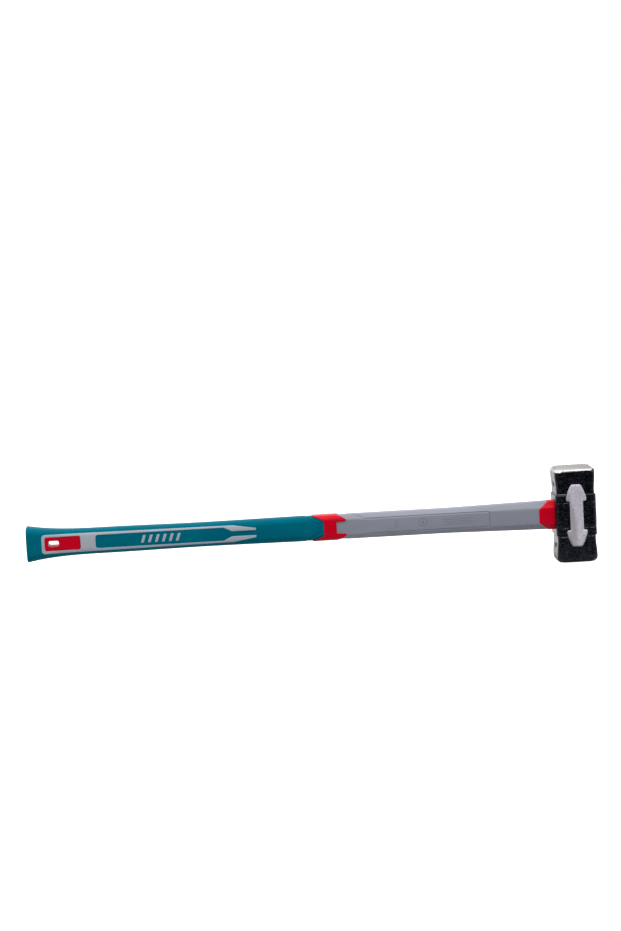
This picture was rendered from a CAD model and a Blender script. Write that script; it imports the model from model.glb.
"""A double-faced sledgehammer with a moulded fibreglass handle, finished around its CAD frame.

Sizes are in millimetres until a piece is finished, when its mesh is scaled to metres. The hammer
strikes along Z, its handle leaves the head along -X, and the front cheek faces -Y.
"""

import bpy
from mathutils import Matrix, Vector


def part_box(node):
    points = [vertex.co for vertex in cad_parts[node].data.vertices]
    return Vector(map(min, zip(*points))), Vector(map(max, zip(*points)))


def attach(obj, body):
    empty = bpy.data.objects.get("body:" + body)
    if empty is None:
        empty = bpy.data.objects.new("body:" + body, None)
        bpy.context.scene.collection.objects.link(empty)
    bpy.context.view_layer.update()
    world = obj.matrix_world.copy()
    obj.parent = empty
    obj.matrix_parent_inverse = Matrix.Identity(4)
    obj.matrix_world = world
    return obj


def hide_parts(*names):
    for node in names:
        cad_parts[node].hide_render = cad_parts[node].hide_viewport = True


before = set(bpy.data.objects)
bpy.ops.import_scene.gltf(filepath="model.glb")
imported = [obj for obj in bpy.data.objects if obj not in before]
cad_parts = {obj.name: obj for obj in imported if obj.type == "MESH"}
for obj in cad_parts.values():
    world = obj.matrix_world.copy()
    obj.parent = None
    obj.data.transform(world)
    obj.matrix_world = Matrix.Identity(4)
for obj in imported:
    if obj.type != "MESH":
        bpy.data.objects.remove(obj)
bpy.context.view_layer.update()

import logging
import math
from abc import ABC, abstractmethod
from bisect import bisect_right
from dataclasses import dataclass, replace
from enum import Enum
from typing import Callable, Iterable, Optional, Sequence

import bmesh
import bpy
from mathutils import Matrix, Vector, noise

MM = 0.001
LOG = logging.getLogger("sledgehammer")

BMesh = bmesh.types.BMesh
Material = bpy.types.Material
Socket = bpy.types.NodeSocket
Colour = tuple[float, float, float]
Line = Sequence[tuple[float, float]]
Place = Callable[[int, int], Vector]
Keep = Callable[[int, int], bool]


class Side(Enum):
    """The two long sides of the hammer that carry the trim."""

    FRONT = -1
    BACK = 1


class Slot(Enum):
    """Material slots of the record that new pieces take their finish from."""

    STEEL = "lacquered_steel"
    PLATE = "silver_plate"
    FIBREGLASS = "fibreglass"
    EPOXY = "epoxy"
    GASKET = "black_rubber"
    RED = "red_plastic"
    GREY = "grey_plastic"
    TEAL = "teal_rubber"


# ---- Small shared tools ----


def node_box(name: str) -> tuple[Vector, Vector]:
    """Lowest and highest corner of a CAD node, in millimetres."""
    low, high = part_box(name)
    return low / MM, high / MM


def smooth_step(t: float) -> float:
    """An S-shaped step from 0 to 1 as t goes from 0 to 1."""
    t = min(max(t, 0.0), 1.0)
    return t * t * (3 - 2 * t)


def scaled(colour: Colour, by: float) -> Colour:
    """A colour made darker or lighter by one factor."""
    return tuple(by * part for part in colour)


def corner_drop(radius: float, run: float) -> float:
    """How far a rounded corner lies inside a square one, at a distance from its end."""
    return radius - math.sqrt(radius**2 - (radius - run) ** 2)


def soft_ramp(t: float, softness: float) -> float:
    """Zero for negative t and t for positive t, with a rounded knee.

    Args:
        t: Distance past the knee.
        softness: Radius of the knee.

    Returns:
        The rounded ramp's height.
    """
    return (t + math.sqrt(t * t + softness * softness)) / 2


def polyline(points: Line, at: float) -> float:
    """Value at a place on a chain of straight lines.

    Args:
        points: (place, value) pairs in rising order of place.
        at: The place that is asked for, held inside the chain's ends.

    Returns:
        The value on the chain.
    """
    if at <= points[0][0]:
        return points[0][1]
    if at >= points[-1][0]:
        return points[-1][1]
    k = bisect_right([place for place, _ in points], at)
    (x0, y0), (x1, y1) = points[k - 1], points[k]
    return y0 + (y1 - y0) * (at - x0) / (x1 - x0)


def distance_to_chain(points: Line, x: float, z: float) -> float:
    """Distance from (x, z) to a chain of straight lines in the XZ plane.

    Args:
        points: (x, z) corners of the chain.
        x: X of the place.
        z: Its Z.

    Returns:
        The shortest distance.
    """
    best = math.inf
    for (x0, z0), (x1, z1) in zip(points, points[1:]):
        dx, dz = x1 - x0, z1 - z0
        t = ((x - x0) * dx + (z - z0) * dz) / (dx * dx + dz * dz)
        t = min(max(t, 0.0), 1.0)
        best = min(best, math.hypot(x - x0 - t * dx, z - z0 - t * dz))
    return best


def graded(spans: Iterable[tuple[float, float]], start: float) -> list[float]:
    """Stations along a line, closer together where the shape needs it.

    Args:
        spans: (end, largest step) pairs, one after another.
        start: Where the first span starts.

    Returns:
        Every station, both ends included.
    """
    stations = [start]
    for end, step in spans:
        begin = stations[-1]
        count = max(1, math.ceil(abs(end - begin) / step - 1e-6))
        stations += [begin + (end - begin) * k / count for k in range(1, count + 1)]
    return stations


def wrapped_grid(columns: int, rows: int, place: Place, keep: Optional[Keep] = None) -> BMesh:
    """A grid whose points are laid onto a surface, with its seam and poles closed.

    Args:
        columns: Number of cells across.
        rows: Number of cells along.
        place: Gives the place of the grid point (column, row).
        keep: Says whether the cell (column, row) is part of the piece.

    Returns:
        The new mesh, in millimetres.
    """
    bm = bmesh.new()
    bmesh.ops.create_grid(bm, x_segments=columns, y_segments=rows, size=0.5)
    if keep is not None:
        gone = []
        for face in bm.faces:
            middle = face.calc_center_median()
            cell = int((middle.x + 0.5) * columns), int((middle.y + 0.5) * rows)
            if not keep(*cell):
                gone.append(face)
        bmesh.ops.delete(bm, geom=gone, context="FACES")
    for vert in bm.verts:
        vert.co = place(round((vert.co.x + 0.5) * columns), round((vert.co.y + 0.5) * rows))
    bmesh.ops.remove_doubles(bm, verts=bm.verts, dist=1e-4)
    bmesh.ops.dissolve_degenerate(bm, edges=bm.edges, dist=1e-4)
    return bm


def wall(bm: BMesh, offset: Callable[[Vector], Vector]) -> None:
    """Closes an open sheet into a solid, with a copy of itself as its far face.

    Args:
        bm: The sheet, whose faces point away from the solid.
        offset: Gives the place on the far face of each point of the sheet.
    """
    made = bmesh.ops.extrude_face_region(bm, geom=list(bm.faces), use_keep_orig=True)
    for item in made["geom"]:
        if isinstance(item, bmesh.types.BMVert):
            item.co = offset(item.co)


def shell(bm: BMesh, thickness: float) -> None:
    """Gives an open sheet that points outwards a wall of this thickness, inside it."""
    bmesh.ops.recalc_face_normals(bm, faces=bm.faces)
    bmesh.ops.solidify(bm, geom=bm.faces, thickness=thickness)


def is_sharp(edge: bmesh.types.BMEdge) -> bool:
    """Whether two faces meet in a sharp edge here."""
    return len(edge.link_faces) == 2 and edge.calc_face_angle(0) > math.radians(50)


def bevel_edges(bm: BMesh, edges: list[bmesh.types.BMEdge], width: float) -> None:
    """Bevels these edges, with two faces across each.

    Args:
        bm: The mesh.
        edges: The edges.
        width: Width of the bevel.
    """
    bmesh.ops.bevel(
        bm, geom=edges, offset=width, segments=2, profile=0.5, affect="EDGES",
        material=-1, clamp_overlap=False,
    )


def bevel_rims(bm: BMesh, width: float, where: Callable[[Vector], bool]) -> None:
    """Bevels the sharp edges whose middle lies in a chosen place.

    Args:
        bm: The mesh.
        width: Width of the bevel.
        where: Says whether an edge with this middle is bevelled.
    """
    bm.normal_update()
    sharp = []
    for edge in bm.edges:
        if is_sharp(edge) and where((edge.verts[0].co + edge.verts[1].co) / 2):
            sharp.append(edge)
    bevel_edges(bm, sharp, width)


def finish_piece(
    bm: BMesh,
    name: str,
    material: Material,
    slot: Slot,
    replaces: Iterable[str] = (),
    crease: float = 38.0,
) -> bpy.types.Object:
    """Turns a mesh in millimetres into a piece that rides on the hammer.

    Args:
        bm: The mesh, which is freed.
        name: Name of the piece.
        material: Its finish.
        slot: The record's slot that the finish stands for.
        replaces: CAD nodes that the piece stands for.
        crease: Angle in degrees above which an edge is shaded as a crease.

    Returns:
        The finished piece.
    """
    bmesh.ops.recalc_face_normals(bm, faces=bm.faces)
    bm.normal_update()
    for face in bm.faces:
        face.smooth = True
    for edge in bm.edges:
        edge.smooth = edge.calc_face_angle(0) < math.radians(crease)
    bmesh.ops.scale(bm, vec=Vector((MM, MM, MM)), verts=bm.verts)
    mesh = bpy.data.meshes.new(name)
    bm.to_mesh(mesh)
    bm.free()
    piece = bpy.data.objects.new(name, mesh)
    bpy.context.scene.collection.objects.link(piece)
    mesh.materials.append(material)
    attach(piece, "root")
    if replaces:
        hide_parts(*replaces)
    LOG.info("%s: %d faces", name, len(mesh.polygons))
    return piece


# ---- Finishes ----


class Nodes:
    """Builds one material's node tree, a few nodes at a time."""

    def __init__(self, name: str) -> None:
        """Starts a material with a plain shader.

        Args:
            name: The material's name.
        """
        self.material = bpy.data.materials.new(name)
        self.material.use_nodes = True
        self.tree = self.material.node_tree
        self.shader = self.tree.nodes["Principled BSDF"]
        self.place = self.add("ShaderNodeTexCoord").outputs["Object"]

    @classmethod
    def of_tree(cls, world: bpy.types.World) -> "Nodes":
        """The same tools, for a world's node tree.

        Args:
            world: The world, which gets a node tree.

        Returns:
            The tools for that tree.
        """
        nodes = cls.__new__(cls)
        world.use_nodes = True
        nodes.tree = world.node_tree
        return nodes

    def add(self, kind: str, **settings: object) -> bpy.types.Node:
        """Adds a node and sets its properties.

        Args:
            kind: Type of the node.
            settings: Its properties by name.

        Returns:
            The new node.
        """
        node = self.tree.nodes.new(kind)
        for key, value in settings.items():
            setattr(node, key, value)
        return node

    def link(self, source: Socket, target: Socket) -> None:
        """Joins two sockets."""
        self.tree.links.new(source, target)

    def feed(self, socket: Socket, value: object) -> None:
        """Links a socket into this one, or sets it to a plain value.

        Args:
            socket: The input.
            value: A socket to link to it, or a plain value.
        """
        if isinstance(value, Socket):
            self.link(value, socket)
        else:
            socket.default_value = value

    def stretched(self, scale: tuple[float, float, float]) -> Socket:
        """Object coordinates, scaled differently along each axis.

        Args:
            scale: Stretch along each axis.

        Returns:
            The scaled coordinates.
        """
        mapping = self.add("ShaderNodeMapping")
        mapping.inputs["Scale"].default_value = scale
        self.link(self.place, mapping.inputs["Vector"])
        return mapping.outputs["Vector"]

    def noise(
        self,
        size_mm: float,
        detail: float = 2.0,
        scale: tuple[float, float, float] = (1, 1, 1),
        rough: float = 0.5,
    ) -> Socket:
        """Soft noise from 0 to 1.

        Args:
            size_mm: Size of its features.
            detail: How many finer layers it has.
            scale: Stretch along each axis: a larger number makes it finer along that axis.
            rough: Strength of the finer layers.

        Returns:
            The noise's value.
        """
        node = self.add("ShaderNodeTexNoise")
        node.inputs["Scale"].default_value = 1 / (size_mm * MM)
        node.inputs["Detail"].default_value = detail
        node.inputs["Roughness"].default_value = rough
        self.link(self.stretched(scale), node.inputs["Vector"])
        return node.outputs["Fac"]

    def pits(self, size_mm: float) -> Socket:
        """Distance to the middle of the nearest cell, for pebbles and pits of this size.

        Args:
            size_mm: Size of a cell.

        Returns:
            The distance.
        """
        node = self.add("ShaderNodeTexVoronoi")
        node.inputs["Scale"].default_value = 1 / (size_mm * MM)
        self.link(self.place, node.inputs["Vector"])
        return node.outputs["Distance"]

    def math(self, operation: str, a: object, b: object = 0.0) -> Socket:
        """One sum on two values or sockets.

        Args:
            operation: Name of the sum.
            a: Its first value.
            b: Its second value.

        Returns:
            The sum's result.
        """
        node = self.add("ShaderNodeMath", operation=operation)
        self.feed(node.inputs[0], a)
        self.feed(node.inputs[1], b)
        return node.outputs[0]

    def plus(self, a: object, b: object) -> Socket:
        """The sum of two values."""
        return self.math("ADD", a, b)

    def minus(self, a: object, b: object) -> Socket:
        """The first value less the second."""
        return self.math("SUBTRACT", a, b)

    def times(self, a: object, b: object) -> Socket:
        """The product of two values."""
        return self.math("MULTIPLY", a, b)

    def larger(self, a: object, b: object) -> Socket:
        """The larger of two values."""
        return self.math("MAXIMUM", a, b)

    def away(self, value: object, centre: float) -> Socket:
        """How far a value is from a centre, on either side."""
        return self.math("ABSOLUTE", self.minus(value, centre))

    def either(self, amount: Socket, a: object, b: object) -> Socket:
        """Blends two plain values, from a at 0 to b at 1."""
        return self.plus(self.times(a, self.minus(1.0, amount)), self.times(b, amount))

    def remap(self, value: Socket, low: float, high: float, to_low: float, to_high: float) -> Socket:
        """Stretches a value from one range to another, with smooth ends.

        Args:
            value: The value's socket.
            low: Value that gives to_low.
            high: Value that gives to_high.
            to_low: Start of the new range.
            to_high: End of the new range.

        Returns:
            The stretched value.
        """
        node = self.add("ShaderNodeMapRange", interpolation_type="SMOOTHSTEP")
        self.link(value, node.inputs["Value"])
        node.inputs["From Min"].default_value = low
        node.inputs["From Max"].default_value = high
        node.inputs["To Min"].default_value = to_low
        node.inputs["To Max"].default_value = to_high
        return node.outputs["Result"]

    def mix(self, amount: object, a: object, b: object) -> Socket:
        """Blends two colours, from a at 0 to b at 1.

        Args:
            amount: How much of b is taken.
            a: The first colour.
            b: The second colour.

        Returns:
            The blend.
        """
        node = self.add("ShaderNodeMix", data_type="RGBA")
        self.feed(node.inputs["Factor"], amount)
        for socket, value in ((node.inputs[6], a), (node.inputs[7], b)):
            self.feed(socket, value if isinstance(value, Socket) else (*value, 1))
        return node.outputs[2]

    def axis(self, letter: str) -> Socket:
        """One of the object coordinates, in metres.

        Args:
            letter: Which one: X, Y or Z.

        Returns:
            The coordinate.
        """
        node = self.add("ShaderNodeSeparateXYZ")
        self.link(self.place, node.inputs[0])
        return node.outputs[letter]

    def bump(self, height: Socket, depth_mm: float, under: Optional[Socket] = None) -> Socket:
        """Raises the surface by a height from 0 to 1.

        Args:
            height: The height's socket.
            depth_mm: Height in millimetres that 1 stands for.
            under: A normal that this bump is laid on.

        Returns:
            The bumped normal.
        """
        node = self.add("ShaderNodeBump")
        node.inputs["Strength"].default_value = 1.0
        node.inputs["Distance"].default_value = depth_mm * MM
        self.link(height, node.inputs["Height"])
        if under is not None:
            self.link(under, node.inputs["Normal"])
        return node.outputs["Normal"]

    def set(self, **values: object) -> None:
        """Sets the shader's sockets by name, with underscores for spaces."""
        for key, value in values.items():
            self.feed(self.shader.inputs[key.replace("_", " ")], value)


class Finish(ABC):
    """A finish that can make its material."""

    @abstractmethod
    def make(self) -> Material:
        """Builds the material."""


@dataclass(frozen=True)
class ForgedLacquer(Finish):
    """Black gloss lacquer on a forging, ground back to bare steel on the striking faces."""

    head_len: float
    black: Colour = (0.0008, 0.0008, 0.0014)
    dust: Colour = (0.017, 0.018, 0.029)
    chip: Colour = (0.2, 0.21, 0.24)
    steel: Colour = (0.44, 0.435, 0.425)
    gloss_tint: Colour = (0.7, 0.84, 1.0)
    raggedness: float = 0.9
    upper_ground: float = 6.6
    ground_tilt: float = 1.6
    corner_rise: float = 5.0
    lower_ground: float = 0.3
    ridge_up: float = 20.3
    band_up: float = 34.2

    def make(self) -> Material:
        """Builds the material.

        Returns:
            The material.
        """
        n = Nodes("forged_lacquer")
        x, z = n.axis("X"), n.axis("Z")
        bare = self.bare(n, x, z)
        brushed = n.noise(1.2, 2, (1, 0.05, 1))
        colour = n.mix(bare, self.lacquer_colour(n, z), self.steel_colour(n, x, z, brushed))
        gloss = n.remap(n.noise(9, 4), 0.35, 0.7, 0.1, 0.22)
        ground = n.remap(brushed, 0.3, 0.7, 0.26, 0.36)
        n.set(Base_Color=colour, Metallic=bare, Roughness=n.either(bare, gloss, ground))
        n.set(IOR=1.36, Specular_Tint=n.mix(bare, self.gloss_tint, (1.0, 1.0, 1.0)))
        n.set(Normal=self.skin(n, z))
        return n.material

    def bare(self, n: Nodes, x: Socket, z: Socket) -> Socket:
        """Mask of the steel that is ground bare at both ends.

        Args:
            n: The node tree that is being built.
            x: Place along the handle, in metres.
            z: Height in metres.

        Returns:
            The mask, 1 where the steel is bare.
        """
        ragged = n.times(n.minus(n.noise(5, 3), 0.5), self.raggedness * MM)
        corner = n.remap(x, 26 * MM, 31 * MM, 0, self.corner_rise * MM)
        tilt = n.remap(x, -40 * MM, 40 * MM, 0, self.ground_tilt * MM)
        height = n.minus(n.plus(z, ragged), n.plus(corner, tilt))
        top, bottom, soft = self.head_len - self.upper_ground, self.lower_ground, 0.1
        upper = n.remap(height, (top - soft) * MM, (top + soft) * MM, 0, 1)
        lower = n.remap(z, (bottom - soft) * MM, (bottom + soft) * MM, 1, 0)
        return n.larger(upper, lower)

    def steel_colour(self, n: Nodes, x: Socket, z: Socket, brushed: Socket) -> Socket:
        """Colour of the bare steel, darker towards the far side and bright at the bevel.

        Args:
            n: The node tree that is being built.
            x: Place along the handle, in metres.
            z: Height in metres.
            brushed: Noise drawn out like the marks of a grinding belt.

        Returns:
            The colour.
        """
        steel = n.mix(n.remap(brushed, 0.3, 0.7, 0, 1), self.steel, scaled(self.steel, 0.8))
        steel = n.mix(n.remap(x, -25 * MM, 35 * MM, 0, 1), steel, scaled(self.steel, 0.68))
        burnish = n.remap(z, (self.head_len - 3.5) * MM, (self.head_len - 1.4) * MM, 0.9, 0)
        return n.mix(burnish, steel, scaled(self.steel, 1.6))

    def lacquer_colour(self, n: Nodes, z: Socket) -> Socket:
        """Colour of the lacquer, mottled with dust and chipped along the band.

        Args:
            n: The node tree that is being built.
            z: Height in metres.

        Returns:
            The colour.
        """
        settled = n.remap(z, 5 * MM, 45 * MM, 0.05, 0)
        mottle = n.plus(n.noise(2.6, 4, (0.6, 0.6, 1.4), rough=0.65), settled)
        black = n.mix(n.remap(mottle, 0.52, 0.64, 0, 1), self.black, self.dust)
        return n.mix(self.chips(n, z), black, self.chip)

    def skin(self, n: Nodes, z: Socket) -> Socket:
        """Normal of the ripples, the rough skin, the beads and the fine scratches.

        Args:
            n: The node tree that is being built.
            z: Height in metres.

        Returns:
            The normal.
        """
        scratches = n.remap(n.noise(1.5, 2, (0.12, 0.12, 1)), 0.35, 0.5, 0, 1)
        near_top = n.remap(z, (self.head_len - 40) * MM, (self.head_len - 8) * MM, 0.25, 1)
        ripples = n.bump(n.times(n.noise(9, 3, (0.3, 0.3, 1.8)), near_top), 1.1)
        rough_skin = n.bump(n.noise(6, 4, rough=0.6), 0.4, ripples)
        beads = n.remap(n.noise(3.2, 2, (0.6, 0.6, 1.3)), 0.6, 0.72, 0, 1)
        return n.bump(scratches, 0.02, n.bump(beads, 0.4, rough_skin))

    def chips(self, n: Nodes, z: Socket) -> Socket:
        """Mask of the short worn strokes along the edges of the band, on the two cheeks.

        Args:
            n: The node tree that is being built.
            z: Height in metres.

        Returns:
            The mask, 1 where the lacquer is worn off.
        """
        up = n.away(z, self.head_len / 2 * MM)
        from_ridge = n.away(up, self.ridge_up * MM)
        from_band = n.away(up, self.band_up * MM)
        on_cheek = n.remap(n.math("ABSOLUTE", n.axis("Y")), 28 * MM, 29 * MM, 0, 1)
        broken = n.noise(6, 3, (1, 1, 0.3), rough=0.6)
        ridge = n.remap(from_ridge, 0.3 * MM, 0.7 * MM, 0.5, 0)
        band = n.remap(from_band, 0.4 * MM, 0.8 * MM, 1, 0)
        on_ridge = n.times(ridge, n.remap(broken, 0.5, 0.57, 0, 1))
        on_band = n.times(band, n.remap(broken, 0.46, 0.53, 0, 1))
        return n.times(n.larger(on_ridge, on_band), on_cheek)


@dataclass(frozen=True)
class PlatePaint(Finish):
    """Silver-grey paint with a fine grain, as on the cheek plates."""

    colour: Colour = (0.66, 0.625, 0.72)
    stain: Colour = (0.4, 0.38, 0.34)
    mid_z: float = 75.5

    def make(self) -> Material:
        """Builds the material.

        Returns:
            The material.
        """
        n = Nodes("plate_paint")
        grain = n.noise(0.9, 3)
        cloud = n.noise(11, 2)
        tint = n.mix(n.remap(cloud, 0.3, 0.7, 0, 1), self.colour, scaled(self.colour, 0.88))
        light = n.mix(n.remap(grain, 0.52, 0.68, 0, 0.4), tint, scaled(self.colour, 1.2))
        dark = n.remap(n.noise(2.2, 3, rough=0.7), 0.55, 0.65, 0, 0.6)
        speck = n.mix(dark, light, scaled(self.colour, 0.4))
        up = n.minus(n.axis("Z"), self.mid_z * MM)
        along = n.times(n.larger(up, -8 * MM), 0.25)
        across = n.plus(n.plus(n.axis("X"), along), n.times(n.noise(16, 2), 3 * MM))
        handled = n.remap(across, -5 * MM, 2.5 * MM, 0.56, 0)
        stained = tuple(share * part for share, part in zip(self.stain, self.colour))
        n.set(Base_Color=n.mix(handled, speck, stained), Normal=n.bump(grain, 0.05))
        n.set(Roughness=n.remap(grain, 0.3, 0.7, 0.42, 0.6), Metallic=0.15, Specular_IOR_Level=0.35)
        return n.material


@dataclass(frozen=True)
class SoftRubber(Finish):
    """Satin thermoplastic rubber with a faint moulded grain."""

    name: str = "soft_rubber"
    colour: Colour = (0.0, 0.12, 0.18)
    worn: Colour = (0.0, 0.14, 0.2)
    sheen: Colour = (0.05, 0.75, 1.0)

    def make(self) -> Material:
        """Builds the material.

        Returns:
            The material.
        """
        n = Nodes(self.name)
        cloud = n.remap(n.noise(28, 3, (0.4, 1, 1)), 0.35, 0.65, 0, 1)
        grain = n.noise(0.55, 2)
        n.set(Base_Color=n.mix(cloud, self.colour, self.worn), Normal=n.bump(grain, 0.03))
        n.set(Roughness=n.remap(cloud, 0, 1, 0.44, 0.52))
        n.set(Specular_IOR_Level=0.06, Specular_Tint=(*self.sheen, 1.0))
        return n.material


@dataclass(frozen=True)
class MouldedPlastic(Finish):
    """Hard moulded plastic with a fine spark-eroded grain."""

    name: str
    colour: Colour
    shade: Colour
    roughness: float = 0.42
    specular: float = 0.4
    sheen: Colour = (1.0, 1.0, 1.0)
    grain_mm: float = 0.6
    grain_depth: float = 0.025

    def make(self) -> Material:
        """Builds the material.

        Returns:
            The material.
        """
        n = Nodes(self.name)
        flow = n.remap(n.noise(22, 3, (0.25, 1, 1)), 0.35, 0.65, 0, 1)
        grain = n.bump(n.noise(self.grain_mm, 2), self.grain_depth)
        tint = n.mix(flow, self.colour, self.shade)
        marks = self.marks(n)
        if marks is not None:
            tint = n.mix(n.times(marks, 0.5), tint, scaled(self.colour, 0.3))
            grain = n.bump(marks, 0.12, grain)
        n.set(Base_Color=tint, Normal=grain)
        n.set(Roughness=n.remap(flow, 0, 1, self.roughness - 0.03, self.roughness + 0.05))
        n.set(Specular_IOR_Level=self.specular, Specular_Tint=(*self.sheen, 1.0))
        return n.material

    def marks(self, n: Nodes) -> Optional[Socket]:
        """Mask of the marks moulded into the surface, for finishes that have them."""
        return None


@dataclass(frozen=True)
class MarkedPlastic(MouldedPlastic):
    """Moulded plastic with a plain ring, a bar and a few fine lines along the shaft."""

    mid_z: float = 75.5
    ring_x: float = -242.6
    ring_up: float = 1.4
    ring_radius: float = 6.1
    dot_radius: float = 1.6
    bar: tuple[float, float] = (-288.5, -281.0)
    lines: tuple[float, float] = (-212.0, -163.0)
    line_pitch: float = 3.6
    reach_up: float = 6.0

    def marks(self, n: Nodes) -> Socket:
        """Mask of the ring with its dot, the bar and the lines.

        Args:
            n: The node tree that is being built.

        Returns:
            The mask, 1 where there is a mark.
        """
        x = n.times(n.axis("X"), 1 / MM)
        up = n.minus(n.times(n.axis("Z"), 1 / MM), self.mid_z)
        far_x = n.math("POWER", n.away(x, self.ring_x), 2.0)
        far_up = n.math("POWER", n.away(up, self.ring_up), 2.0)
        away = n.math("SQRT", n.plus(far_x, far_up))
        on_ring = n.remap(n.away(away, self.ring_radius), 0.35, 0.6, 1, 0)
        on_dot = n.remap(away, self.dot_radius, self.dot_radius + 0.3, 1, 0)
        low = n.remap(n.math("ABSOLUTE", up), self.reach_up - 0.2, self.reach_up + 0.1, 1, 0)
        on_bar = n.times(self.between(n, x, self.bar), low)
        wave = n.math("COSINE", n.times(up, 2 * math.pi / self.line_pitch))
        on_line = n.times(n.remap(wave, 0.7, 0.9, 0, 1), low)
        on_lines = n.times(self.between(n, x, self.lines), on_line)
        first = n.larger(on_ring, on_dot)
        return n.larger(first, n.larger(n.times(on_bar, 0.25), on_lines))

    def between(self, n: Nodes, x: Socket, ends: tuple[float, float]) -> Socket:
        """Mask of the stretch between two places along the handle."""
        middle, half = (ends[0] + ends[1]) / 2, (ends[1] - ends[0]) / 2
        return n.remap(n.away(x, middle), half - 0.2, half + 0.1, 1, 0)


@dataclass(frozen=True)
class SawnFibreglass(Finish):
    """Drawn glass fibre: long streaks on its sides, and a speckled sawn end."""

    colour: Colour = (0.62, 0.52, 0.28)

    def make(self) -> Material:
        """Builds the material.

        Returns:
            The material.
        """
        n = Nodes("sawn_fibreglass")
        strands = n.noise(1.1, 3, (0.02, 1, 1))
        tint = n.mix(n.remap(strands, 0.35, 0.65, 0, 1), self.colour, scaled(self.colour, 0.55))
        n.set(Base_Color=tint, Normal=n.bump(strands, 0.08))
        n.set(Roughness=n.remap(strands, 0.3, 0.7, 0.35, 0.6))
        return n.material


@dataclass(frozen=True)
class CastEpoxy(Finish):
    """Dark amber resin, smooth, with a few trapped bubbles."""

    colour: Colour = (0.05, 0.035, 0.02)

    def make(self) -> Material:
        """Builds the material.

        Returns:
            The material.
        """
        n = Nodes("cast_epoxy")
        bubbles = n.remap(n.pits(1.6), 0.08, 0.2, 0, 1)
        cloud = n.mix(n.noise(6, 2), self.colour, scaled(self.colour, 2.2))
        n.set(Base_Color=cloud, Normal=n.bump(bubbles, 0.12))
        n.set(Roughness=n.remap(bubbles, 0, 1, 0.5, 0.15))
        return n.material


@dataclass(frozen=True)
class GasketRubber(Finish):
    """Matt black rubber with a fine grain."""

    colour: Colour = (0.008, 0.008, 0.009)
    dust: Colour = (0.03, 0.03, 0.032)

    def make(self) -> Material:
        """Builds the material.

        Returns:
            The material.
        """
        n = Nodes("gasket_rubber")
        grain = n.noise(0.5, 3)
        dusty = n.mix(n.remap(grain, 0.5, 0.75, 0, 0.6), self.colour, self.dust)
        n.set(Base_Color=dusty, Normal=n.bump(grain, 0.05))
        n.set(Roughness=n.remap(grain, 0.3, 0.7, 0.65, 0.85))
        return n.material


# ---- Shape of the handle ----


@dataclass(frozen=True)
class Section:
    """A rounded rectangle across the handle, whose corners may be flattened into facets."""

    height: float
    depth: float
    corner: float
    crown: float = 0.3
    facet: float = 0.0
    sharpness: float = 14.0

    @property
    def flat_z(self) -> float:
        """Half height of the side flat."""
        return self.height / 2 - self.corner

    @property
    def flat_y(self) -> float:
        """Half depth of the top flat."""
        return self.depth / 2 - self.corner

    def reach(self, turn: float) -> float:
        """Distance from a corner's centre to its surface in one direction.

        Args:
            turn: The direction: 0 towards the side, a quarter turn towards the top.

        Returns:
            The distance.
        """
        if not self.facet:
            return self.corner

        def total(at: float) -> float:
            """The powers of both sides and the facet, added up in one direction."""
            sides = math.cos(at) ** self.sharpness + math.sin(at) ** self.sharpness
            return sides + (math.cos(at - math.pi / 4) / self.facet) ** self.sharpness

        return self.corner * (total(turn) / total(0.0)) ** (-1 / self.sharpness)

    def point(self, u: int, v: float) -> tuple[float, float, float, float]:
        """A point in the quarter where both Y and Z are positive.

        Args:
            u: Which stretch: 0 is the side flat, 1 the corner and 2 the top flat.
            v: Place along that stretch, from 0 to 1.

        Returns:
            Y and Z of the point, and of the normal there.
        """
        if u == 0:
            return self.depth / 2 - self.crown * v * v, self.flat_z * v, 1.0, 0.0
        if u == 2:
            return self.flat_y * (1 - v), self.height / 2, 0.0, 1.0
        turn = v * math.pi / 2
        reach = self.reach(turn)
        y = self.flat_y + (reach - self.crown * (1 - v)) * math.cos(turn)
        return y, self.flat_z + reach * math.sin(turn), math.cos(turn), math.sin(turn)

    def girth(self, u: int, v: float) -> float:
        """Distance around the section from the middle of its side to a point of it.

        Args:
            u: Which stretch, as in point.
            v: Place along that stretch, from 0 to 1.

        Returns:
            The distance.
        """
        if u == 0:
            return self.flat_z * v
        if u == 1:
            return self.flat_z + self.corner * v * math.pi / 2
        return self.flat_z + self.corner * math.pi / 2 + self.flat_y * v

    def half_depth(self, up: float) -> float:
        """Half of the section's depth at a height over its middle.

        Args:
            up: Height over the middle, up or down.

        Returns:
            The half depth.
        """
        up = abs(up)
        if up <= self.flat_z:
            return self.depth / 2 - self.crown * (up / self.flat_z) ** 2
        low, high = 0.0, 1.0
        for _ in range(24):
            middle = (low + high) / 2
            if self.point(1, middle)[1] < up:
                low = middle
            else:
                high = middle
        return self.point(1, low)[0]

    def grown(self, by: float) -> "Section":
        """The same section with every side moved out by this much."""
        height, depth = self.height + 2 * by, self.depth + 2 * by
        return replace(self, height=height, depth=depth, corner=self.corner + by)


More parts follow.
